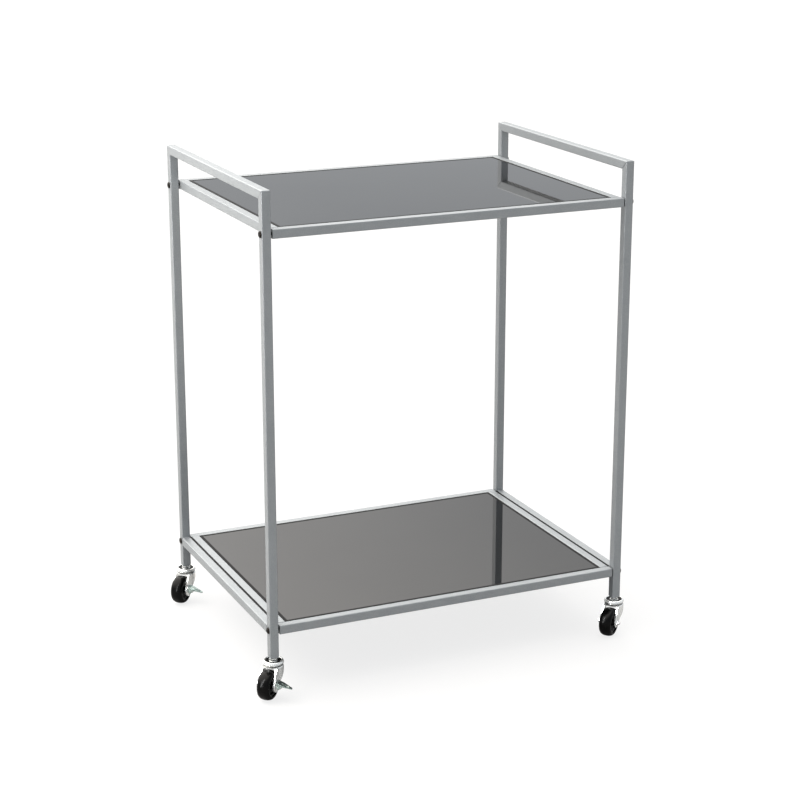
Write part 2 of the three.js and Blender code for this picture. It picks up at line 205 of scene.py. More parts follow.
def combined(base, tool, operation):
    """Exact boolean of two closed meshes: UNION, DIFFERENCE or INTERSECT."""
    mesh = bpy.data.meshes.new("tool")
    tool.to_mesh(mesh)
    tool.free()
    other = bpy.data.objects.new("tool", mesh)
    bpy.context.scene.collection.objects.link(other)

    def add(helper):
        modifier = helper.modifiers.new("cut", "BOOLEAN")
        modifier.operation = operation
        modifier.object = other
        modifier.solver = "EXACT"

    result = evaluated(base, add)
    bpy.data.objects.remove(other)
    bpy.data.meshes.remove(mesh)
    return result


def softened(made, width, segments=2, angle=35):
    """Rounds every edge sharper than angle."""

    def add(helper):
        modifier = helper.modifiers.new("edge", "BEVEL")
        modifier.width = width
        modifier.segments = segments
        modifier.limit_method = "ANGLE"
        modifier.angle_limit = math.radians(angle)

    return evaluated(made, add)


def axes(origin, x_axis, y_axis, z_axis):
    """Matrix from a piece's own millimetres to the frame's metres."""
    turn = Matrix((x_axis, y_axis, z_axis)).transposed().to_4x4()
    return Matrix.Translation(origin) @ turn @ Matrix.Scale(MM, 4)


def add_piece(name, made, matrix, body, material, replaced=(), sharp=32):
    """Finishes a mesh as a piece of the cart that rides on a body."""
    mesh = bpy.data.meshes.new(name)
    made.to_mesh(mesh)
    made.free()
    mesh.transform(matrix)
    mesh.polygons.foreach_set("use_smooth", [True] * len(mesh.polygons))
    mesh.set_sharp_from_angle(angle=math.radians(sharp))
    mesh.materials.append(material)
    piece = bpy.data.objects.new(name, mesh)
    bpy.context.scene.collection.objects.link(piece)
    flat = piece.modifiers.new("flat faces", "WEIGHTED_NORMAL")
    flat.keep_sharp = True
    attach(piece, body)
    if replaced:
        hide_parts(*replaced)
    return piece


# ---------------------------------------------------------------- materials

WHITE = (1, 1, 1, 1)
BACKDROP_GLOW = 0.95


class Nodes:
    """A material's node tree, with short names for the nodes that repeat."""

    def __init__(self, name):
        self.material = bpy.data.materials.new(name)
        self.material.use_nodes = True
        self.tree = self.material.node_tree
        self.shader = self.tree.nodes["Principled BSDF"]
        self.place = self.tree.nodes.new("ShaderNodeTexCoord").outputs["Object"]

    def set(self, **values):
        for name, value in values.items():
            self.shader.inputs[name.replace("_", " ")].default_value = value

    def link(self, output, socket):
        self.tree.links.new(output, self.shader.inputs[socket])

    def noise(self, scale, detail=2.0, roughness=0.5, stretch=None):
        node = self.tree.nodes.new("ShaderNodeTexNoise")
        node.inputs["Scale"].default_value = scale
        node.inputs["Detail"].default_value = detail
        node.inputs["Roughness"].default_value = roughness
        place = self.place
        if stretch:
            mapping = self.tree.nodes.new("ShaderNodeMapping")
            mapping.inputs["Scale"].default_value = stretch
            self.tree.links.new(place, mapping.inputs["Vector"])
            place = mapping.outputs["Vector"]
        self.tree.links.new(place, node.inputs["Vector"])
        return node.outputs["Fac"]

    def cells(self, scale):
        node = self.tree.nodes.new("ShaderNodeTexVoronoi")
        node.inputs["Scale"].default_value = scale
        self.tree.links.new(self.place, node.inputs["Vector"])
        return node.outputs["Distance"]

    def ramp(self, factor, *stops):
        """Colours at positions, each stop (position, (r, g, b))."""
        node = self.tree.nodes.new("ShaderNodeValToRGB")
        elements = node.color_ramp.elements
        while len(elements) < len(stops):
            elements.new(0.5)
        for element, (position, colour) in zip(elements, stops):
            element.position = position
            element.color = (*colour, 1)
        self.tree.links.new(factor, node.inputs["Fac"])
        return node.outputs["Color"]

    def spread(self, factor, low, high, start=0.3, end=0.7):
        """A factor's start to end mapped to low to high."""
        node = self.tree.nodes.new("ShaderNodeMapRange")
        values = {"From Min": start, "From Max": end, "To Min": low, "To Max": high}
        for name, value in values.items():
            node.inputs[name].default_value = value
        self.tree.links.new(factor, node.inputs["Value"])
        return node.outputs["Result"]

    def mix(self, factor, one, other, blend="MIX"):
        node = self.tree.nodes.new("ShaderNodeMix")
        node.data_type = "RGBA"
        node.blend_type = blend
        if isinstance(factor, float):
            node.inputs["Factor"].default_value = factor
        else:
            self.tree.links.new(factor, node.inputs["Factor"])
        self.tree.links.new(one, node.inputs[6])
        self.tree.links.new(other, node.inputs[7])
        return node.outputs[2]

    def bump(self, *layers):
        """Bump from (height, strength, distance in metres) layers, one over the other."""
        normal = None
        for height, strength, distance in layers:
            node = self.tree.nodes.new("ShaderNodeBump")
            node.inputs["Strength"].default_value = strength
            node.inputs["Distance"].default_value = distance
            self.tree.links.new(height, node.inputs["Height"])
            if normal:
                self.tree.links.new(normal, node.inputs["Normal"])
            normal = node.outputs["Normal"]
        self.link(normal, "Normal")


def powder_coat():
    """Silver-grey metallic powder coat: fine flakes, faint clouds, a slight orange peel."""
    nodes = Nodes("powder_coat")
    flake = nodes.ramp(
        nodes.noise(900, 4.0, 0.7),
        (0.30, (0.228, 0.245, 0.258)),
        (0.50, (0.276, 0.294, 0.308)),
        (0.70, (0.335, 0.352, 0.364)),
    )
    cloud = nodes.ramp(nodes.noise(38, 3.0), (0.3, (0.93, 0.935, 0.94)), (0.7, (1, 1, 1)))
    nodes.link(nodes.mix(1.0, flake, cloud, "MULTIPLY"), "Base Color")
    nodes.link(nodes.spread(nodes.noise(700, 2.0), 0.34, 0.47), "Roughness")
    nodes.set(Metallic=0.45)
    nodes.bump((nodes.noise(420, 2.0), 0.12, 0.0002), (nodes.noise(1900, 2.0), 0.10, 0.0001))
    return nodes.material


def black_glass():
    """Opaque black glass, polished, with a trace of haze that only shows in highlights."""
    nodes = Nodes("black_glass")
    tint = nodes.ramp(
        nodes.noise(5, 2.0), (0.3, (0.004, 0.004, 0.0045)), (0.7, (0.007, 0.0072, 0.0075))
    )
    nodes.link(tint, "Base Color")
    nodes.link(nodes.spread(nodes.noise(14, 4.0, 0.6), 0.012, 0.03), "Roughness")
    nodes.set(IOR=1.5, Specular_Tint=(1.0, 0.96, 0.93, 1))
    return nodes.material


def zinc_plate():
    """Bright zinc plate: cool white metal with cloudy patches and fine forming marks."""
    nodes = Nodes("zinc_plate")
    colour = nodes.ramp(
        nodes.noise(160, 4.0, 0.6),
        (0.30, (0.86, 0.89, 0.90)),
        (0.52, (0.92, 0.935, 0.93)),
        (0.72, (0.95, 0.95, 0.925)),
    )
    nodes.link(colour, "Base Color")
    nodes.link(nodes.spread(nodes.noise(420, 3.0), 0.18, 0.28), "Roughness")
    nodes.set(Metallic=0.85)
    marks = nodes.noise(500, 3.0, 0.6, stretch=(1, 1, 0.15))
    nodes.bump((marks, 0.03, 0.0002), (nodes.noise(120, 2.0), 0.025, 0.0004))
    return nodes.material


def brake_zinc():
    """Stamped levers: the same plate, duller and slightly green."""
    nodes = Nodes("brake_zinc")
    colour = nodes.ramp(
        nodes.noise(220, 4.0, 0.6),
        (0.30, (0.20, 0.27, 0.26)),
        (0.52, (0.38, 0.46, 0.44)),
        (0.72, (0.60, 0.66, 0.62)),
    )
    nodes.link(colour, "Base Color")
    nodes.link(nodes.spread(nodes.noise(500, 3.0), 0.22, 0.38), "Roughness")
    nodes.set(Metallic=1.0)
    nodes.bump((nodes.noise(600, 3.0), 0.14, 0.0002), (nodes.noise(150, 2.0), 0.12, 0.0004))
    return nodes.material


def blackened_steel():
    """Screws: brown-black oxide, rubbed brighter on the flakes' high spots."""
    nodes = Nodes("blackened_steel")
    colour = nodes.ramp(
        nodes.noise(900, 3.0, 0.6),
        (0.35, (0.010, 0.009, 0.008)),
        (0.60, (0.022, 0.018, 0.015)),
        (0.80, (0.070, 0.060, 0.052)),
    )
    nodes.link(colour, "Base Color")
    nodes.link(nodes.spread(nodes.noise(700, 2.0), 0.28, 0.42), "Roughness")
    nodes.set(Metallic=0.85)
    nodes.bump((nodes.noise(1200, 2.0), 0.10, 0.0001))
    return nodes.material


def rubber():
    """Tyres: smooth black rubber with a soft gloss and a little dust."""
    nodes = Nodes("rubber")
    colour = nodes.ramp(
        nodes.noise(90, 5.0, 0.65),
        (0.35, (0.0012, 0.0012, 0.0013)),
        (0.65, (0.0026, 0.0025, 0.0024)),
        (0.85, (0.006, 0.0057, 0.0054)),
    )
    nodes.link(colour, "Base Color")
    nodes.link(nodes.spread(nodes.noise(260, 3.0), 0.14, 0.24), "Roughness")
    nodes.set(Specular_IOR_Level=0.10)
    nodes.bump((nodes.noise(700, 3.0), 0.05, 0.0002), (nodes.noise(90, 2.0), 0.03, 0.0004))
    return nodes.material


def moulded_plastic(name, scale, low, high, gloss):
    """Black moulded plastic with a fine grain."""
    nodes = Nodes(name)
    colour = nodes.ramp(nodes.noise(scale, 3.0), (0.3, (0.004,) * 3), (0.75, (0.010,) * 3))
    nodes.link(colour, "Base Color")
    nodes.link(nodes.spread(nodes.noise(scale * 2, 2.0), low, high), "Roughness")
    nodes.set(Specular_IOR_Level=gloss)
    nodes.bump((nodes.cells(1500), 0.08, 0.0001))
    return nodes.material


def floor_panel(name, albedo, glow):
    """Matt floor that also glows evenly, with broad faint patches."""
    nodes = Nodes(name)
    colour = nodes.ramp(nodes.noise(1.2, 3.0), (0.3, (albedo,) * 3), (0.7, (1.1 * albedo,) * 3))
    nodes.link(colour, "Base Color")
    nodes.set(Roughness=0.9, Specular_IOR_Level=0.1)
    nodes.set(Emission_Color=WHITE, Emission_Strength=glow)
    return nodes.material


def backdrop_paper():
    """Matt wall that glows evenly."""
    nodes = Nodes("backdrop_paper")
    nodes.link(nodes.ramp(nodes.noise(0.2), (0.3, (0.04,) * 3), (0.7, (0.05,) * 3)), "Base Color")
    nodes.set(Roughness=1.0, Emission_Color=WHITE, Emission_Strength=BACKDROP_GLOW)
    return nodes.material


PAINT = powder_coat()
GLASS = black_glass()
ZINC = zinc_plate()
BRAKE = brake_zinc()
SCREW = blackened_steel()
RUBBER = rubber()
HUB = moulded_plastic("hub_plastic", 300, 0.26, 0.38, 0.4)
# black plastic: the end plugs, and the strips, rings and washer that are painted shade in gaps and
# grooves
INSERT = moulded_plastic("insert_plastic", 400, 0.45, 0.6, 0.08)


# ---------------------------------------------------------------- tubes


def tube_end(length, mitred, groove_side=0):
    """Rings of one end of a tube, from its bore out over its edge, as if the end were at +Z.

    A mitre is longest on the tube's +Y side, where its outer edge is rounded. On its +X side, or
    with a groove_side of -1 on its -X side, the weld isn't ground, and leaves a groove."""
    bore = TUBE_HALF - TUBE_WALL
    bore_radius = TUBE_RADIUS - TUBE_WALL

    def slope(point):
        return TUBE_HALF - point.y + MITRE_SEAM * math.sqrt(0.5) if mitred else 0

    def ring(half, radius, drop):
        points = square(half, half, radius, 0)
        return [Vector((p.x, p.y, length - slope(p) - drop)) for p in points]

    rings = [ring(bore, bore_radius, 0)]
    if not mitred:
        for y, z in arc((CUT_EDGE, CUT_EDGE), CUT_EDGE, 270, 180, 3):
            rings.append(ring(TUBE_HALF - y, TUBE_RADIUS - y, z))
        return rings
    centre_y, centre_z = TUBE_HALF - MITRE_ROUND, length - MITRE_ROUND
    for drop in MITRE_DROPS:
        points = ring(TUBE_HALF, TUBE_RADIUS, drop)
        for point in points:
            depth = min(1, max(0, groove_side * point.x - TUBE_HALF + GROOVE) / GROOVE)
            point.z -= depth * GROOVE * (1 - drop / MITRE_DROPS[-1])
            off = Vector((point.y - centre_y, point.z - centre_z))
            if off.x > 0 and off.y > 0 and off.length > MITRE_ROUND:
                off *= MITRE_ROUND / off.length
                point.y, point.z = centre_y + off.x, centre_z + off.y
        rings.append(points)
    return rings


def flipped(rings, length):
    """The same end at the tube's other end."""
    return [[Vector((p.x, p.y, length - p.z)) for p in ring] for ring in rings]


def tube(length, start_mitred=False, end_mitred=False, groove_side=0):
    start = flipped(tube_end(length, start_mitred, groove_side), length)
    end = tube_end(length, end_mitred, groove_side)
    return loft(start + end[::-1], closed=True)


def hole_ring(radius, z):
    """A circle with as many points as square(), a quarter of them facing each of its corners."""
    sides = 4 * (TUBE_CORNER_STEPS + 1)
    turn = Matrix.Rotation(math.pi / sides, 3, "Z")
    return [turn @ point for point in circle(radius, z, sides)]


def plugged_end(length):
    """Rings of a rail's end at +Z, from the bore out through its drilled plug."""
    bore = TUBE_HALF - TUBE_WALL
    rings = [square(bore, bore, TUBE_RADIUS - TUBE_WALL, length - PLUG_DEPTH)]
    for scale, z in ((1, length - PLUG_DEPTH), (1, length - 0.5), (1.15, length)):
        rings.append(hole_ring(SCREW_HOLE * scale, z))
    for inset, drop in arc((CUT_EDGE, CUT_EDGE), CUT_EDGE, 270, 180, 3):
        half = TUBE_HALF - inset
        rings.append(square(half, half, TUBE_RADIUS - inset, length - drop))
    return rings


def long_rail(length):
    end = plugged_end(length)
    return loft(flipped(end, length) + end[::-1], closed=True)


def lay_tube(node, made, along, outer):
    """Puts a tube made along +Z where its node lies, with its +Y side turned outer."""
    low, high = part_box(node)
    middle = (low + high) / 2
    start = middle - along * ((high - low).dot(along) / 2)
    matrix = axes(start, outer.cross(along), outer, along)
    return add_piece(node + "_tube", made, matrix, "root", PAINT, (node,))


def length_of(node, along):
    low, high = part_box(node)
    return (high - low).dot(along) / MM


# The bead lies on the top, inner and bottom faces, where a cross rail meets a post
WELD_RADIUS = 1.15
WELD_LENGTH = 12.4
WELD_OUT = 0.3  # from the rail's end, into the post's face
WELD_STEP = 0.55
WELD_SIDES = 14


def weld_bead(length, radius, seed):
    """A flattened weld bead along X, rippled, sunk a little below Z = 0."""
    rings = []
    steps = max(6, round(length / WELD_STEP))
    for i in range(steps + 1):
        along = -length / 2 + length * i / steps
        fade = math.sqrt(max(0.05, 1 - (2 * i / steps - 1) ** 6))
        size = radius * fade * (1 + 0.10 * math.sin(2.4 * i + seed))
        ring = arc((0, -0.35 * radius), size, 0, 360 - 360 / WELD_SIDES, WELD_SIDES - 1)
        rings.append([Vector((along, y, z * 0.8)) for y, z in ring])
    return loft(rings)


def add_cross_rail_welds(side, inward):
    node = side + "_cross_rail"
    low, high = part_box(node)
    middle = (low + high) / 2
    half = TUBE_HALF * MM
    for end, y, toward in (("front", low.y, -Y), ("back", high.y, Y)):
        beads = []
        for seed, face in enumerate((Z, inward, -Z)):
            bead = weld_bead(WELD_LENGTH, WELD_RADIUS, seed + 3 * y)
            place = Vector((middle.x, y, middle.z)) + face * half + toward * WELD_OUT * MM
            beads.append(moved(bead, axes(place, toward.cross(face), toward, face)))
        bead = joined(*beads)
        add_piece(f"{side}_{end}_weld", bead, Matrix(), "root", PAINT)


def add_end_frames():
    for side, inward in (("left", X), ("right", -X)):
        for end, outer in (("front", -Y), ("back", Y)):
            node = f"{end}_{side}_post"
            long = length_of(node, Z) + MITRE_SEAM * math.sqrt(0.5)
            side_x = inward.dot(outer.cross(Z))
            lay_tube(node, tube(long, end_mitred=True, groove_side=side_x), Z, outer)
        node = side + "_handle_bar"
        long = length_of(node, Y) + 2 * MITRE_SEAM * math.sqrt(0.5)
        lay_tube(node, tube(long, True, True, inward.dot(Z.cross(Y))), Y, Z)
        node = side + "_cross_rail"
        lay_tube(node, tube(length_of(node, Y)), Y, Z)
        add_cross_rail_welds(side, inward)
        add_buffer_strip(side)


# ---------------------------------------------------------------- shelves

GLASS_RADIUS, GLASS_EDGE = 3.0, 0.6
LEDGE_RADIUS, LEDGE_EDGE = 1.0, 0.4


def slab(node, radius, edge):
    """A plate with round corners and rounded edges that fills its node's box."""
    low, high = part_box(node)
    half = (high - low) / 2 / MM
    rings = []
    for inset, drop in arc((edge, edge), edge, 270, 180, 3):
        size = (half.x - inset, half.y - inset, radius - inset)
        rings.append(square(*size, half.z - drop))
    under = [[Vector((p.x, p.y, -p.z)) for p in ring] for ring in rings]
    matrix = axes((low + high) / 2, X, Y, Z)
    return loft(under + rings[::-1]), matrix


def add_shelf(shelf):
    for end, outer in (("front", -Y), ("back", Y)):
        node = f"{shelf}_shelf_{end}_rail"
        lay_tube(node, long_rail(length_of(node, X)), X, outer)
        ledge = f"{shelf}_glass_ledge_{end}"
        made, matrix = slab(ledge, LEDGE_RADIUS, LEDGE_EDGE)
        add_piece(ledge + "_bar", made, matrix, "root", PAINT, (ledge,))
    for end, outer in (("left", -X), ("right", X)):
        node = f"{shelf}_shelf_{end}_rail"
        lay_tube(node, tube(length_of(node, Y)), Y, outer)
    panel = shelf + "_glass_panel"
    made, matrix = slab(panel, GLASS_RADIUS, GLASS_EDGE)
    add_piece(panel + "_sheet", made, matrix, "root", GLASS, (panel,))
    add_glass_strip(shelf)


# Black strips, painted shade in the gaps: the glass strip's lip lies over the glass, and the gap
# strip's head over the rounded shoulders of the rails on both sides of it
STRIP_CLEAR = 0.05
STRIP_RADIUS = 0.4
LIP_WIDTH, LIP_HEIGHT, LIP_ROUND = 2.4, 0.3, 0.15
LIP_CLEAR = 0.02
STRIP_FOOT = 0.2  # above the glass's underside
GAP_SHADE_WIDTH = 1.0
GAP_SHADE_NECK, GAP_SHADE_SINK, GAP_SHADE_RISE = 0.7, 0.1, 0.15  # from the rails' top
GAP_SHADE_FOOT, GAP_SHADE_CHAMFER = 2.0, 0.3  # above the rails' underside


def rectangle_at(low, high, radius, z):
    """A level ring on a rectangle given by two corners in millimetres."""
    half = (high - low) / 2
    middle = (high + low) / 2
    return [Vector((p.x + middle.x, p.y + middle.y, z)) for p in square(half.x, half.y, radius, 0)]


def add_glass_strip(shelf):
    """Painted shade: black edging in the gap round the glass, with a lip over the glass's edge."""
    glass_low, glass_high = (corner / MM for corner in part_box(shelf + "_glass_panel"))
    front, back = (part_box(f"{shelf}_shelf_{end}_rail") for end in ("front", "back"))
    left, right = (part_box(f"{shelf}_shelf_{end}_rail") for end in ("left", "right"))
    clear = Vector((STRIP_CLEAR, STRIP_CLEAR, 0))
    outer_low = Vector((left[1].x, front[1].y, 0)) / MM + clear
    outer_high = Vector((right[0].x, back[0].y, 0)) / MM - clear
    bottom, over = glass_low.z + STRIP_FOOT, glass_high.z + LIP_CLEAR
    top = glass_high.z + LIP_HEIGHT
    rings = []
    for z, inset in ((bottom, 0), (top - LIP_ROUND, 0), (top, LIP_ROUND)):
        step = Vector((inset, inset, 0))
        rings.append(rectangle_at(outer_low + step, outer_high - step, STRIP_RADIUS, z))
    for z, out in (
        (top, LIP_ROUND - LIP_WIDTH),
        (over, -LIP_WIDTH),
        (over, STRIP_CLEAR),
        (bottom, STRIP_CLEAR),
    ):
        step = Vector((out, out, 0))
        rings.append(rectangle_at(glass_low - step, glass_high + step, GLASS_RADIUS + out, z))
    strip = loft(rings, closed=True)
    name = shelf + "_glass_shade_strip"
    # painted shade: a black strip standing in for the shadow in the gap round the glass
    add_piece(name, strip, Matrix.Scale(MM, 4), "root", INSERT)


def add_buffer_strip(side):
    """Painted shade: a black strip between the lower shelf's side rail and the cross rail."""
    rail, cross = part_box(f"lower_shelf_{side}_rail"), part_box(side + "_cross_rail")
    left, right = sorted((rail, cross), key=lambda box: box[0].x)
    clear = STRIP_CLEAR
    front, back = max(rail[0].y, cross[0].y) / MM, min(rail[1].y, cross[1].y) / MM
    low = Vector((left[1].x / MM + clear, front + clear, 0))
    high = Vector((right[0].x / MM - clear, back - clear, 0))
    top = min(rail[1].z, cross[1].z) / MM
    bottom = max(rail[0].z, cross[0].z) / MM + GAP_SHADE_FOOT
    rings = []
    for z, wider in (
        (bottom, -GAP_SHADE_CHAMFER),
        (bottom + GAP_SHADE_CHAMFER, 0),
        (top - GAP_SHADE_NECK, 0),
        (top - GAP_SHADE_SINK, GAP_SHADE_WIDTH),
        (top + GAP_SHADE_RISE - 0.1, GAP_SHADE_WIDTH),
        (top + GAP_SHADE_RISE, GAP_SHADE_WIDTH - 0.2),
    ):
        step = Vector((wider, 0, 0))
        rings.append(rectangle_at(low - step, high + step, STRIP_RADIUS, z))
    strip = loft(rings)
    name = side + "_gap_shade_strip"
    # painted shade: a black strip standing in for the shadow in the gap between the rails
    add_piece(name, strip, Matrix.Scale(MM, 4), "root", INSERT)


# ---------------------------------------------------------------- screws

SCREW_RADIUS = 3.0
SCREW_LENGTH = 30.0
HEAD_RADIUS = 5.5
HEAD_HEIGHT = 2.3
HEAD_EDGE = 0.5  # height of its upright edge, below the dome
HEAD_FLAT = 3.0  # radius of its flat top
SOCKET_RADIUS = 2.35
THREAD_PITCH = 1.0
THREAD_DEPTH = 0.35


def screw():
    """Button head with a hexagon socket: its seat is at Z = 0 and its shank runs down -Z."""
    profile = [(SCREW_RADIUS - 0.6, -SCREW_LENGTH)]
    z = 0.5 - SCREW_LENGTH
    while z < -1:
        profile += [(SCREW_RADIUS, z), (SCREW_RADIUS - THREAD_DEPTH, z + THREAD_PITCH / 2)]
        z += THREAD_PITCH
    profile += [(SCREW_RADIUS, -0.6), (SCREW_RADIUS, 0), (HEAD_RADIUS - 0.2, 0)]
    profile += [(HEAD_RADIUS, 0.2), (HEAD_RADIUS, HEAD_EDGE)]
    steps = 7
    for i in range(1, steps + 1):
        turn = math.pi / 2 * i / steps
        radius = HEAD_FLAT + (HEAD_RADIUS - HEAD_FLAT) * math.cos(turn)
        profile.append((radius, HEAD_EDGE + (HEAD_HEIGHT - HEAD_EDGE) * math.sin(turn)))
    rings = [circle(radius, z, BOLT_SIDES) for radius, z in profile]
    rings.append(hexagon(SOCKET_RADIUS + 0.25, HEAD_HEIGHT, BOLT_SIDES))
    rings.append(hexagon(SOCKET_RADIUS, HEAD_HEIGHT - 0.2, BOLT_SIDES))
    rings.append(hexagon(SOCKET_RADIUS, 0.8, BOLT_SIDES))
    rings.append(hexagon(SOCKET_RADIUS * 0.5, 0.45, BOLT_SIDES))
    return loft(rings)


def add_screws(corner):
    outward = X if corner.endswith("right") else -X
    for shelf in SHELVES:
        node = f"{corner}_{shelf}_screw"
        low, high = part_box(node)
        place = (low + high) / 2
        place.x = (high.x if outward.x > 0 else low.x) - outward.x * HEAD_HEIGHT * MM
        matrix = axes(place, outward.cross(Z) * -1, Z, outward)
        add_piece(node + "_head", screw(), matrix, "root", SCREW, (node,))


# ---------------------------------------------------------------- casters


INSERT_CLEAR = 0.3
INSERT_RADIUS = 1.0
INSERT_EDGE = 0.4


def stem_insert(low, high):
    """Square plug with round corners and a bore, between two heights."""
    half = TUBE_HALF - TUBE_WALL - INSERT_CLEAR
    foot, head = low + INSERT_EDGE, high - INSERT_EDGE
    rings = []
    for z, inset in ((low, INSERT_EDGE), (foot, 0), (head, 0), (high, INSERT_EDGE)):
        rings.append(square(half - inset, half - inset, INSERT_RADIUS, z))
    for z, scale in ((high, 1.08), (head, 1), (foot, 1), (low, 1.08)):
        rings.append(hole_ring(STEM_BORE * scale, z))
    return loft(rings, closed=True)


def caster_stem():
    """Riveted end, shank, flange, hexagon with chamfered corners, and threaded upper part."""
    rings = [circle(1.5, 49.5), circle(4.2, 49.7), circle(5.6, 50.2), circle(6.0, 50.9)]
    rings += [circle(5.9, 51.1), circle(STEM_RADIUS, 51.1)]
    rings += [circle(STEM_RADIUS, 58.3), circle(7.3, 58.3)]
    rings += [circle(7.6, 58.6), circle(7.6, 59.4), circle(7.3, 59.7), circle(6.0, 59.7)]
    rings += [hexagon(6.7, 59.8, rounding=0.4), hexagon(7.2, 60.2), hexagon(7.2, 64.1)]
    rings += [hexagon(6.8, 64.6, rounding=0.5), circle(5.6, 64.7), circle(STEM_RADIUS, 64.7)]
    z = 65.2
    while z < 85:
        rings.append(circle(STEM_RADIUS, z))
        rings.append(circle(STEM_RADIUS - STEM_SINK, z + STEM_PITCH / 2))
        z += STEM_PITCH
    rings.append(circle(3.2, 86.0))
    return loft(rings)


def swivel_cap():
    """Pressed cap: a wide round rim about a well."""
    profile = [(STEM_BORE, 56.3), (16.6, 56.3), (17.0, 56.5), (17.2, 56.9), (17.15, 57.5)]
    profile += [(16.9, 58.3), (16.6, 58.9)]
    profile += arc((14.75, 58.75), 1.95, 10, 90, 8)
    profile += arc((14.7, 59.6), 1.1, 90, 180, 6)
    profile += [(13.6, 58.9), (13.3, 58.3), (12.7, 58.0), (5.0, 58.0), (STEM_BORE, 57.8)]
    return turned(profile, 96, closed=True)


def cap_seal():
    """Black washer in the cap's well: a seal, and painted shade that darkens the well."""
    profile = [(7.8, 58.02), (12.8, 58.02), (13.3, 58.4), (13.45, 59.0), (13.45, 59.6)]
    profile += [(13.1, 59.9), (8.1, 59.9), (7.8, 59.6)]
    return turned(profile, 72, closed=True)


def ball_race():
    """The turning race under the cap, on a narrower neck."""
    profile = [(STEM_BORE, CROWN_TOP), (13.5, CROWN_TOP), (13.5, 54.4), (14.2, 54.5), (15.9, 54.5)]
    profile += arc((16.2, 54.95), 0.45, -90, 90, 6)
    profile += [(15.2, 55.4), (13.5, 55.4), (13.5, 56.0), (STEM_BORE, 56.0)]
    return turned(profile, 96, closed=True)


def groove_shade_rings():
    """Painted shade: black rings round the race's neck, one under its lip and one over it."""
    lower = [(13.55, 53.22), (15.9, 53.22), (16.15, 53.5), (16.15, 54.2), (15.9, 54.45)]
    lower += [(13.55, 54.35)]
    upper = [(13.55, 55.45), (15.8, 55.45), (16.0, 55.6), (16.0, 56.05), (15.8, 56.2)]
    upper += [(13.55, 56.0)]
    return joined(*(turned(ring, 96, closed=True) for ring in (lower, upper)))


def crown_plan(inset, front):
    """The fork's outline from above: round at the back, straight sides, open at the front."""
    radius = CROWN_RADIUS - inset
    side = LEG_OUT - inset
    turn = math.radians(75)
    start_x, start_y = radius * math.cos(turn), radius * math.sin(turn)
    run = LEG_FRONT - start_x
    half = [(front, side)]
    for i in range(9):
        t = 1 - i / 8
        slope = -run / math.tan(turn)
        bend = (1 - t) ** 2 * t * slope
        blend = t * t * (3 - 2 * t)
        half.append((start_x + t * run, start_y + (side - start_y) * blend + bend))
    half += arc((0, 0), radius, 77.5, 180, 24)
    return half + [(x, -y) for x, y in reversed(half[:-1])]


def domed(plan, inset, front, bottom, top, bend):
    """A block over a crown plan with its upper edge rounded."""
    rings = [[Vector((x, y, bottom)) for x, y in plan(inset, front)]]
    for d, z in arc((bend, 0), bend, 180, 90, 6):
        outline = plan(inset + d, front)
        rings.append([Vector((x, y, top - bend + z)) for x, y in outline])
    return loft(rings)


def leg_profile(eye):
    """The fork from the side, in X and Z: crown, skirt, and leg down round the axle's eye."""
    points = [(LEG_FRONT, 54), (-18, 54), (-18, SKIRT_BOTTOM)]
    points += arc((-10.5, SKIRT_BOTTOM - 4), 4, 90, 30, 4)
    points += arc((TRAIL, AXLE_HEIGHT), eye, 198, 382, 24)
    return points


def across(points, low, high):
    """A side outline in X and Z made a block between two places along Y."""
    return moved(prism(points, -high, -low), Matrix.Rotation(math.pi / 2, 4, "X"))


def caster_fork(eye):
    """Pressed fork: crown with its lip over the wheel, skirt, and flanged legs."""
    shell = domed(crown_plan, 0, 40, 0, CROWN_TOP, CROWN_BEND)
    hollow = domed(crown_plan, SHEET, 60, -5, CROWN_TOP - SHEET, CROWN_BEND - SHEET)
    shell = combined(shell, hollow, "DIFFERENCE")
    lip = []
    for i in range(17):
        t = i / 16
        bulge = 2 * t * (1 - t) * (LIP_FRONT - LEG_FRONT)
        lip.append((LEG_FRONT + bulge, -LEG_OUT - 1 + t * (2 * LEG_OUT + 2)))
    lip += [(LEG_FRONT - 2, LEG_OUT + 1), (LEG_FRONT - 2, -LEG_OUT - 1)]
    keep = across(leg_profile(eye), -20, 20)
    keep = combined(keep, prism(lip, CROWN_TOP - SHEET - 0.4, 55), "UNION")
    fork = combined(shell, keep, "INTERSECT")

    top = Vector((LEG_FRONT, CROWN_TOP - SHEET + 0.3))
    turn = math.radians(22)
    foot = Vector((TRAIL + eye * math.cos(turn), AXLE_HEIGHT + eye * math.sin(turn)))
    foot = top.lerp(foot, 0.82)
    inward = Vector((top.y - foot.y, foot.x - top.x)).normalized() * -SHEET
    band = [tuple(p) for p in (top, top + inward, foot + inward, foot)]
    for low, high in ((FLANGE_IN, LEG_OUT - 0.05), (0.05 - LEG_OUT, -FLANGE_IN)):
        fork = combined(fork, across(band, low, high), "UNION")
    bore = [tuple(p.xy) for p in circle(STEM_BORE, 0, 32)]
    fork = combined(fork, prism(bore, 40, 60), "DIFFERENCE")
    hole = [(TRAIL + p.x, AXLE_HEIGHT + p.y) for p in circle(AXLE_RADIUS + 0.3, 0, 32)]
    fork = combined(fork, across(hole, -20, 20), "DIFFERENCE")
    bmesh.ops.remove_doubles(fork, verts=fork.verts, dist=0.01)
    return softened(fork, 0.32, 2, 38)


def on_axle(made):
    """Lays a piece turned about +Z along the axle, its +Z towards the brake's side."""
    turn = Matrix.Rotation(-math.pi / 2, 4, "X")
    return moved(made, Matrix.Translation((TRAIL, 0, AXLE_HEIGHT)) @ turn)


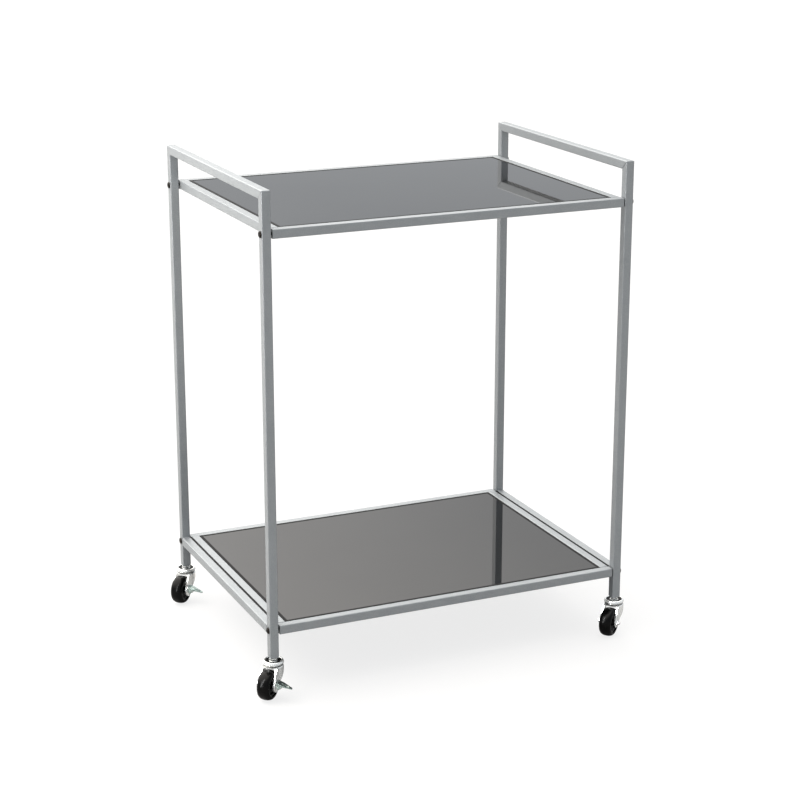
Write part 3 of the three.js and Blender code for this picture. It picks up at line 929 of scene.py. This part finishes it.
def axle_bolt(brake):
    """Hexagon head, shank, and either a nut or the nut and block that carry the brake's pin."""
    leg = LEG_OUT + 0.3

    def round_at(radius, z):
        return circle(radius, z, BOLT_SIDES)

    def nut(z, chamfer=0.0):
        return hexagon(NUT_RADIUS - chamfer, z, BOLT_SIDES, 0.5 if chamfer else 0)

    rings = [round_at(2.9, -18.4), nut(-18.3, 0.4), nut(-17.9), nut(-leg)]
    rings += [round_at(AXLE_RADIUS, -leg), round_at(AXLE_RADIUS, leg)]
    rings += [nut(leg), nut(17.4), nut(17.9, 0.4)]
    if not brake:
        rings += [round_at(2.9, 18.1), round_at(AXLE_RADIUS, 18.2), round_at(AXLE_RADIUS, 19.8)]
        rings += [round_at(2.1, 20.4)]
        return on_axle(loft(rings))
    rings += [round_at(AXLE_RADIUS, 18.0), round_at(AXLE_RADIUS, 19.0)]
    block = loft([square(3.2, 3.0, 0.6, z) for z in (17.6, 23.8)])
    hole = moved(turned([(1.8, -5), (1.8, 5)], 24), Matrix.Rotation(math.pi / 2, 4, "Y"))
    block = combined(block, moved(hole, Matrix.Translation((0, 0, PIN_OUT))), "DIFFERENCE")
    return on_axle(joined(loft(rings), softened(block, 0.25)))


def brake_seat():
    """Shallow dish behind the lever, pressed out of the leg."""
    profile = [(3.0, 14.55), (9.9, 14.55), (10.4, 14.7), (10.6, 15.2), (10.5, 15.8)]
    profile += [(10.1, 16.1), (9.6, 15.9), (9.2, 15.4), (8.4, 15.15), (3.0, 15.15)]
    return on_axle(turned(profile, 72, closed=True))


def wheel_hub():
    """Moulded hub: boss, recessed web with a ring, and rim."""
    half = [(2.8, 12.4), (5.3, 12.4), (5.8, 12.0), (6.0, 6.0), (6.6, 4.6), (8.0, 4.0)]
    half += [(12.6, 4.0), (13.6, 4.4), (14.6, 6.2), (15.4, 8.1), (16.0, 8.5), (17.3, 8.5)]
    profile = half + [(radius, -y) for radius, y in reversed(half)]
    return on_axle(turned(profile, 96, closed=True))


def tyre():
    """Smooth tyre with a rounded tread and flat sides."""
    profile = [(17.6, 8.5), (17.7, 9.8), (18.0, 10.6)]
    power = 2 / 2.4
    for i in range(23):
        turn = math.pi * (0.96 * i / 22 + 0.02)
        across_tread = TYRE_HALF * math.copysign(abs(math.cos(turn)) ** power, math.cos(turn))
        up = (TYRE_RADIUS - 18.4) * math.sin(turn) ** power
        profile.append((18.4 + up, across_tread))
    profile += [(18.0, -10.6), (17.7, -9.8), (17.6, -8.5)]
    return on_axle(turned(profile, 128, closed=True))


def lever_section(out, half_width, top, bottom, thickness, rib):
    """One section of the lever across its length: an inverted channel with a raised rib."""
    inner = half_width - min(thickness, 0.4 * half_width)
    edge, foot = min(0.8, 0.2 * half_width), min(2.4, 0.5 * half_width)
    outline = [(half_width, bottom), (half_width, top - edge)]
    outline += [(half_width - 0.3 * edge, top - 0.3 * edge), (half_width - edge, top)]
    outline += [(foot, top), (0.6 * foot, top + rib * 0.7), (0.25 * foot, top + rib)]
    mirrored = [(-x, z) for x, z in reversed(outline)]
    under = [(-inner, bottom), (-inner, top - thickness), (0, top - thickness + rib * 0.5)]
    under += [(inner, top - thickness), (inner, bottom)]
    return [Vector((x, out, z)) for x, z in outline + mirrored + under]


def brake_lever():
    """Stamped lever: ears round the pin, and a ribbed pedal that narrows to a round tip."""
    slope = (PEDAL_LOW - PEDAL_HIGH) / (PEDAL_OUT - PEDAL_IN)
    tip_start = PEDAL_OUT - PEDAL_TIP
    rings = []
    stations = [PEDAL_IN + i * 0.5 for i in range(46)]
    stations += [tip_start + PEDAL_TIP * math.sin(math.pi / 2 * i / 8) for i in range(8)]
    for out in stations:
        top = PEDAL_HIGH + slope * (out - PEDAL_IN)
        taper = min(1, max(0, (out - PEDAL_TAPER) / (tip_start - PEDAL_TAPER)))
        half = PEDAL_HALF - PEDAL_NARROWING * taper
        round_off = max(0, (out - tip_start) / PEDAL_TIP)
        half *= math.sqrt(max(0.08, 1 - round_off ** 2))
        bottom = top - 3.2 + 1.7 * taper
        from_pin = abs(out - PIN_OUT)
        if from_pin < EAR_RADIUS:
            bottom = AXLE_HEIGHT - math.sqrt(EAR_RADIUS ** 2 - from_pin ** 2)
        elif from_pin < EAR_RADIUS + EAR_FLARE:
            rise = (from_pin - EAR_RADIUS) / EAR_FLARE
            bottom = AXLE_HEIGHT + (bottom - AXLE_HEIGHT) * rise ** 0.4
        in_rib = min(1, max(0, (out - 23) / 3), max(0, (tip_start + 1 - out) / 3))
        rings.append(lever_section(out, half, top, bottom, PEDAL_SHEET, PEDAL_RIB * in_rib))
    lever = loft(rings)
    pin = [(0.9, -7.9), (1.9, -7.8), (2.3, -7.4), (2.3, -7.05), (1.5, -7.05), (1.5, 7.05)]
    pin += [(2.3, 7.05), (2.3, 7.4), (1.9, 7.8), (0.9, 7.9)]
    turn = Matrix.Rotation(math.pi / 2, 4, "Y")
    place = Matrix.Translation((0, PIN_OUT, AXLE_HEIGHT))
    pin = moved(turned(pin, 32), place @ turn)
    return moved(joined(lever, pin), Matrix.Translation((TRAIL, 0, 0)))


def add_caster(corner):
    swivel_axis = Vector(JOINTS[corner + "_swivel_turn"]["pos_m"])
    spin = JOINTS[corner + "_wheel_spin"]
    foot = Vector((swivel_axis.x, swivel_axis.y, 0))
    wheel = Vector((*spin["pos_m"][:2], 0))
    still = axes(foot, X, Y, Z)
    turning = axes(foot, (wheel - foot).normalized(), Vector(spin["axis"]), Z)
    swivel, rolling = corner + "_swivel", corner + "_wheel"

    def add(name, made, matrix, body, material, slot, *nodes):
        replaced = [f"{corner}_{node}" for node in nodes]
        add_piece(f"{corner}_{name}", made, matrix, body, material, replaced)

    low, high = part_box(corner + "_stem_insert")
    plug = stem_insert(low.z / MM, high.z / MM)
    add("end_plug", plug, still, "root", INSERT, "insert_plastic", "stem_insert")
    add("stem", caster_stem(), still, "root", ZINC, "caster_zinc", "caster_stem")
    add("cap", swivel_cap(), still, "root", ZINC, "caster_zinc", "swivel_cap")
    # painted shade: the black washer darkens the cap's well
    add("shaded_well_seal", cap_seal(), still, "root", INSERT, "insert_plastic")

    brake = corner + "_brake_lever" in frame["nodes"]
    eye = BRAKE_EYE if brake else PLAIN_EYE
    add("fork", caster_fork(eye), turning, swivel, ZINC, "caster_zinc", "caster_fork")
    add("race", ball_race(), turning, swivel, ZINC, "caster_zinc")
    # painted shade: black rings in the grooves under and over the race's lip
    add("groove_shade_rings", groove_shade_rings(), turning, swivel, INSERT, "insert_plastic")
    add("axle", axle_bolt(brake), turning, swivel, ZINC, "caster_zinc", "axle_bolt")
    add("hub", wheel_hub(), turning, rolling, HUB, "hub_plastic", "wheel_hub")
    add("tread", tyre(), turning, rolling, RUBBER, "tyre_rubber", "tyre")
    if brake:
        add("brake_seat", brake_seat(), turning, swivel, ZINC, "caster_zinc")
        body = corner + "_brake"
        add("lever", brake_lever(), turning, body, BRAKE, "brake_zinc", "brake_lever")


# ---------------------------------------------------------------- stage

FLOOR_SIZE = 40
# Each floor's albedo, glow and height: the one to look at, and the one the cart is lit by
SEEN_FLOOR = (0.10, 0.80, 0)
UNDER_FLOOR = (0.3, 0, -0.002)
BACKDROP_RADIUS, BACKDROP_HEIGHT = 36, 30

FILL_COLOUR = (0.945, 0.98, 1.02, 1)
FILL_STRENGTH = 0.72
KEY_COLOUR = (1.0, 0.95, 0.885, 1)
KEY_DIRECTION = (-0.26, 0.40, 0.88)
KEY_START, KEY_FULL = 0.42, 1.0  # cosines to that direction
KEY_STRENGTH = 4.5

STREAK_PLACE, STREAK_TARGET = (-1.9, -0.75, 1.15), (-0.3, -0.2, 0.6)
STREAK_SIZE = (0.15, 2.3)
STREAK_POWER = 32
SIDE_BOX_PLACE, SIDE_BOX_TARGET = (-0.85, 0.05, 0.95), (-0.31, 0.0, 0.6)
SIDE_BOX_SIZE = (0.6, 0.6)
SIDE_BOX_POWER = 8
SIDE_BOX_COLOUR = (1.0, 0.955, 0.90)

LENS, SENSOR = 89.6, 36
CAMERA_FROM_CORNER = Vector((-1.026, -2.800, 1.327))
CAMERA_TILT, CAMERA_TURN = 16.62, 24.16  # degrees down, and to the right


def add_stage_mesh(name, made, material):
    mesh = bpy.data.meshes.new(name)
    made.to_mesh(mesh)
    made.free()
    mesh.materials.append(material)
    stage = bpy.data.objects.new(name, mesh)
    bpy.context.scene.collection.objects.link(stage)
    return stage


def seen_only(stage):
    """Shown to the camera, without lighting or shading the cart."""
    stage.visible_diffuse = False
    stage.visible_glossy = False
    stage.visible_transmission = False
    stage.visible_shadow = False


def add_floor():
    """A pale floor to look at, and a darker one under it that the cart is lit by."""
    for name, (albedo, glow, height) in (("floor", SEEN_FLOOR), ("under_floor", UNDER_FLOOR)):
        grid = bmesh.new()
        bmesh.ops.create_grid(grid, x_segments=2, y_segments=2, size=FLOOR_SIZE)
        moved(grid, Matrix.Translation((0, 0, height)))
        floor = add_stage_mesh(name, grid, floor_panel(name, albedo, glow))
        if glow:
            seen_only(floor)
        else:
            floor.visible_camera = False


def add_backdrop():
    """A pale wall all round, far behind the floor's edge in low views. It casts no light."""
    wall = turned([(BACKDROP_RADIUS, -0.1), (BACKDROP_RADIUS, BACKDROP_HEIGHT)], 96)
    seen_only(add_stage_mesh("backdrop", wall, backdrop_paper()))


def add_studio_light():
    """Light from all round: a fill, and a wide key from above that leans to the back and left."""
    world = bpy.data.worlds.new("studio")
    bpy.context.scene.world = world
    world.use_nodes = True
    tree = world.node_tree
    fill = tree.nodes["Background"]
    fill.inputs["Color"].default_value = FILL_COLOUR
    fill.inputs["Strength"].default_value = FILL_STRENGTH
    sky = tree.nodes.new("ShaderNodeTexCoord").outputs["Generated"]
    cosine = tree.nodes.new("ShaderNodeVectorMath")
    cosine.operation = "DOT_PRODUCT"
    cosine.inputs[1].default_value = KEY_DIRECTION
    tree.links.new(sky, cosine.inputs[0])
    spread = tree.nodes.new("ShaderNodeMapRange")
    spread.interpolation_type = "SMOOTHSTEP"
    values = {"From Min": KEY_START, "From Max": KEY_FULL, "To Min": 0, "To Max": KEY_STRENGTH}
    for name, value in values.items():
        spread.inputs[name].default_value = value
    tree.links.new(cosine.outputs["Value"], spread.inputs["Value"])
    key = tree.nodes.new("ShaderNodeBackground")
    key.inputs["Color"].default_value = KEY_COLOUR
    tree.links.new(spread.outputs["Result"], key.inputs["Strength"])
    both = tree.nodes.new("ShaderNodeAddShader")
    tree.links.new(fill.outputs["Background"], both.inputs[0])
    tree.links.new(key.outputs["Background"], both.inputs[1])
    tree.links.new(both.outputs["Shader"], tree.nodes["World Output"].inputs["Surface"])


def add_lamp(name, place, target, size, power):
    """An area lamp aimed at a point, that the camera doesn't see."""
    lamp = bpy.data.lights.new(name, "AREA")
    lamp.shape = "RECTANGLE"
    lamp.size, lamp.size_y = size
    lamp.energy = power
    light = bpy.data.objects.new(name, lamp)
    bpy.context.scene.collection.objects.link(light)
    light.location = place
    aim = Vector(target) - Vector(place)
    light.rotation_euler = aim.to_track_quat("-Z", "Y").to_euler()
    light.visible_camera = False
    return light


def add_side_box():
    """A softbox at the upper left, so that upright faces darken towards the floor."""
    place, target = SIDE_BOX_PLACE, SIDE_BOX_TARGET
    light = add_lamp("side_box", place, target, SIDE_BOX_SIZE, SIDE_BOX_POWER)
    light.data.color = SIDE_BOX_COLOUR
    light.visible_glossy = False


def add_streak_light():
    """A tall narrow lamp on the left that only shows as a streak in what is glossy."""
    light = add_lamp("streak", STREAK_PLACE, STREAK_TARGET, STREAK_SIZE, STREAK_POWER)
    light.visible_diffuse = False


def add_camera():
    """Placed from the front left post's outer corner."""
    data = bpy.data.cameras.new("camera")
    data.lens = LENS
    data.sensor_width = SENSOR
    camera = bpy.data.objects.new("camera", data)
    bpy.context.scene.collection.objects.link(camera)
    camera.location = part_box("front_left_post")[0] + CAMERA_FROM_CORNER
    camera.rotation_euler = (math.radians(90 - CAMERA_TILT), 0, -math.radians(CAMERA_TURN))
    bpy.context.scene.camera = camera
    bpy.context.scene.view_settings.view_transform = "Standard"


add_camera()
add_studio_light()
add_side_box()
add_streak_light()
add_floor()
add_backdrop()
add_end_frames()
for shelf in SHELVES:
    add_shelf(shelf)
for corner in CORNERS:
    add_screws(corner)
    add_caster(corner)
